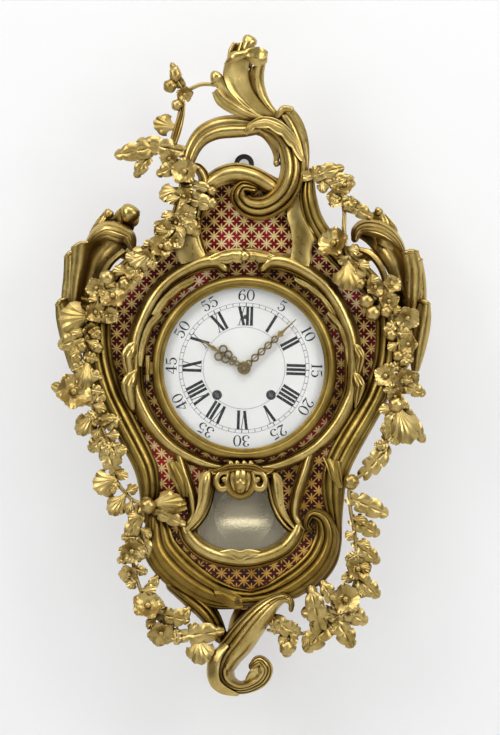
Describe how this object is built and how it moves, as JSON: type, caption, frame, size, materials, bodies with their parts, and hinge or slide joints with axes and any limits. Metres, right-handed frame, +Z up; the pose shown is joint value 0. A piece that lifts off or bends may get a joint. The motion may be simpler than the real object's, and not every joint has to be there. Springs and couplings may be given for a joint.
{
  "type": "cartel clock",
  "caption": "Rococo wall clock: waisted case in star-inlaid panels with pierced gilt bronze mounts, hinged glazed bezel, enamel dial, spring-driven striking movement and pendulum window.",
  "frame": {"origin": "centre of the hanging eye's bore at the wall plane", "axes": "+Z up the wall, +Y into the wall, +X to the right seen from the front; the dial faces -Y"},
  "size_m": [0.3761, 0.1056, 0.6638],
  "materials": {
    "oak": "oiled oak",
    "inlay_panel": "polished red veneer with brass star inlay",
    "gilt_bronze": "satin gilt bronze, dark in the recesses",
    "gilt_hands": "gilt, satin",
    "glass": "clear",
    "enamel": "white enamel with blue-black figures",
    "iron": "blackened iron",
    "steel": "polished steel",
    "brass": "brushed brass",
    "bob_brass": "polished brass",
    "bell_metal": "turned bell metal"
  },
  "bodies": {
    "case": {"backboard": "oak", "carcass": "oak", "front_panel": "inlay_panel", "rear_cover": "brass", "case_screws": "steel", "hanging_eye": "iron", "left_frame": "gilt_bronze", "right_frame": "gilt_bronze", "dial_surround": "gilt_bronze", "window_frame": "gilt_bronze", "window_glass": "glass", "crest": "gilt_bronze", "plume": "gilt_bronze", "left_wing": "gilt_bronze", "right_wing": "gilt_bronze", "left_garland": "gilt_bronze", "right_garland": "gilt_bronze", "left_lower_garland": "gilt_bronze", "right_lower_garland": "gilt_bronze", "lower_frame": "gilt_bronze", "bottom_scroll": "gilt_bronze", "hinge_leaf": "gilt_bronze", "hinge_pin": "steel", "dial": "enamel", "dial_plate": "brass", "front_plate": "brass", "back_plate": "brass", "movement_screws": "steel", "back_cock": "brass", "bell": "bell_metal", "bell_stand": "steel"},
    "bezel_door": {"bezel": "gilt_bronze", "bezel_glass": "glass"},
    "minute_arbor": {"centre_wheel": "brass", "cannon_pinion": "steel", "minute_hand": "gilt_hands"},
    "minute_wheel_body": {"minute_wheel": "brass"},
    "hour_pipe": {"hour_wheel": "brass", "hour_hand": "gilt_hands"},
    "going_barrel_body": {"going_barrel": "brass", "going_mainspring": "steel"},
    "second_arbor": {"second_wheel": "brass"},
    "third_arbor": {"third_wheel": "brass"},
    "escape_arbor": {"escape_wheel": "brass"},
    "anchor_arbor": {"anchor": "steel"},
    "pendulum": {"pendulum_rod": "steel", "pendulum_bob": "bob_brass"},
    "strike_barrel_body": {"strike_barrel": "brass", "strike_mainspring": "steel"},
    "strike_second_arbor": {"strike_second_wheel": "brass", "count_wheel": "brass"},
    "pin_arbor": {"pin_wheel": "brass"},
    "warning_arbor": {"warning_wheel": "brass"},
    "fly_arbor": {"fly": "brass"},
    "hammer_arbor": {"hammer": "steel"},
    "going_winder": {"going_winding_arbor": "steel"},
    "strike_winder": {"strike_winding_arbor": "steel"},
    "going_click_lever": {"going_click": "steel"},
    "strike_click_lever": {"strike_click": "steel"},
    "regulator": {"regulator_arbor": "steel"}
  },
  "joints": [
    {"name": "bezel_swing", "type": "hinge", "parent": "case", "child": "bezel_door", "pos_m": [-0.0964, -0.092, -0.207], "axis": [0, 0, -1], "range_deg": [0, 110]},
    {"name": "minute_turn", "type": "hinge", "parent": "case", "child": "minute_arbor", "pos_m": [0, -0.07, -0.207], "axis": [0, 1, 0], "continuous": true},
    {"name": "minute_wheel_turn", "type": "hinge", "parent": "case", "child": "minute_wheel_body", "pos_m": [-0.01353, -0.072, -0.21193], "axis": [0, 1, 0], "continuous": true},
    {"name": "hour_turn", "type": "hinge", "parent": "case", "child": "hour_pipe", "pos_m": [0, -0.077, -0.207], "axis": [0, 1, 0], "continuous": true},
    {"name": "going_barrel_turn", "type": "hinge", "parent": "case", "child": "going_barrel_body", "pos_m": [0.027, -0.05, -0.234], "axis": [0, 1, 0], "continuous": true},
    {"name": "second_turn", "type": "hinge", "parent": "case", "child": "second_arbor", "pos_m": [0.0192, -0.05, -0.20721], "axis": [0, 1, 0], "continuous": true},
    {"name": "third_turn", "type": "hinge", "parent": "case", "child": "third_arbor", "pos_m": [0.00707, -0.05, -0.18977], "axis": [0, 1, 0], "continuous": true},
    {"name": "escape_turn", "type": "hinge", "parent": "case", "child": "escape_arbor", "pos_m": [0, -0.05, -0.175], "axis": [0, 1, 0], "continuous": true},
    {"name": "pendulum_swing", "type": "hinge", "parent": "case", "child": "pendulum", "pos_m": [0, -0.018, -0.1605], "axis": [0, 1, 0], "range_deg": [-4, 4]},
    {"name": "anchor_rock", "type": "hinge", "parent": "case", "child": "anchor_arbor", "pos_m": [0, -0.035, -0.1605], "axis": [0, 1, 0], "range_deg": [-4, 4]},
    {"name": "pin_wheel_turn", "type": "hinge", "parent": "case", "child": "pin_arbor", "pos_m": [-0.02431, -0.05, -0.18904], "axis": [0, 1, 0], "continuous": true},
    {"name": "strike_second_turn", "type": "hinge", "parent": "case", "child": "strike_second_arbor", "pos_m": [-0.0212, -0.05, -0.20671], "axis": [0, 1, 0], "continuous": true},
    {"name": "strike_barrel_turn", "type": "hinge", "parent": "case", "child": "strike_barrel_body", "pos_m": [-0.027, -0.05, -0.234], "axis": [0, 1, 0], "continuous": true},
    {"name": "warning_turn", "type": "hinge", "parent": "case", "child": "warning_arbor", "pos_m": [-0.0195, -0.05, -0.17582], "axis": [0, 1, 0], "continuous": true},
    {"name": "fly_turn", "type": "hinge", "parent": "case", "child": "fly_arbor", "pos_m": [-0.01254, -0.05, -0.16752], "axis": [0, 1, 0], "continuous": true},
    {"name": "hammer_lift", "type": "hinge", "parent": "case", "child": "hammer_arbor", "pos_m": [-0.038, -0.05, -0.159], "axis": [0, -1, 0], "range_deg": [0, 14], "stiffness_Nm_per_rad": 0.08, "springref_deg": -8.59},
    {"name": "going_wind", "type": "hinge", "parent": "case", "child": "going_winder", "pos_m": [0.027, -0.06, -0.234], "axis": [0, 1, 0], "continuous": true},
    {"name": "strike_wind", "type": "hinge", "parent": "case", "child": "strike_winder", "pos_m": [-0.027, -0.06, -0.234], "axis": [0, 1, 0], "continuous": true},
    {"name": "going_click_lift", "type": "hinge", "parent": "case", "child": "going_click_lever", "pos_m": [0.03309, -0.072, -0.24705], "axis": [0, -1, 0], "range_deg": [0, 18], "stiffness_Nm_per_rad": 0.02, "springref_deg": -5.73},
    {"name": "strike_click_lift", "type": "hinge", "parent": "case", "child": "strike_click_lever", "pos_m": [-0.03309, -0.072, -0.24705], "axis": [0, 1, 0], "range_deg": [0, 18], "stiffness_Nm_per_rad": 0.02, "springref_deg": -5.73},
    {"name": "regulator_turn", "type": "hinge", "parent": "case", "child": "regulator", "pos_m": [0.0015, -0.07, -0.156], "axis": [0, 1, 0], "continuous": true}
  ],
  "couplings": [
    {"joint": "second_turn", "follows": "minute_turn", "ratio": -0.11111},
    {"joint": "going_barrel_turn", "follows": "minute_turn", "ratio": 0.013889},
    {"joint": "third_turn", "follows": "minute_turn", "ratio": -11.25},
    {"joint": "escape_turn", "follows": "minute_turn", "ratio": 135},
    {"joint": "minute_wheel_turn", "follows": "minute_turn", "ratio": -0.33333},
    {"joint": "hour_turn", "follows": "minute_turn", "ratio": 0.083333},
    {"joint": "anchor_rock", "follows": "pendulum_swing", "ratio": 1},
    {"joint": "strike_second_turn", "follows": "pin_wheel_turn", "ratio": -0.11429},
    {"joint": "strike_barrel_turn", "follows": "pin_wheel_turn", "ratio": 0.014286},
    {"joint": "warning_turn", "follows": "pin_wheel_turn", "ratio": -8.5714},
    {"joint": "fly_turn", "follows": "pin_wheel_turn", "ratio": 61.224}
  ]
}
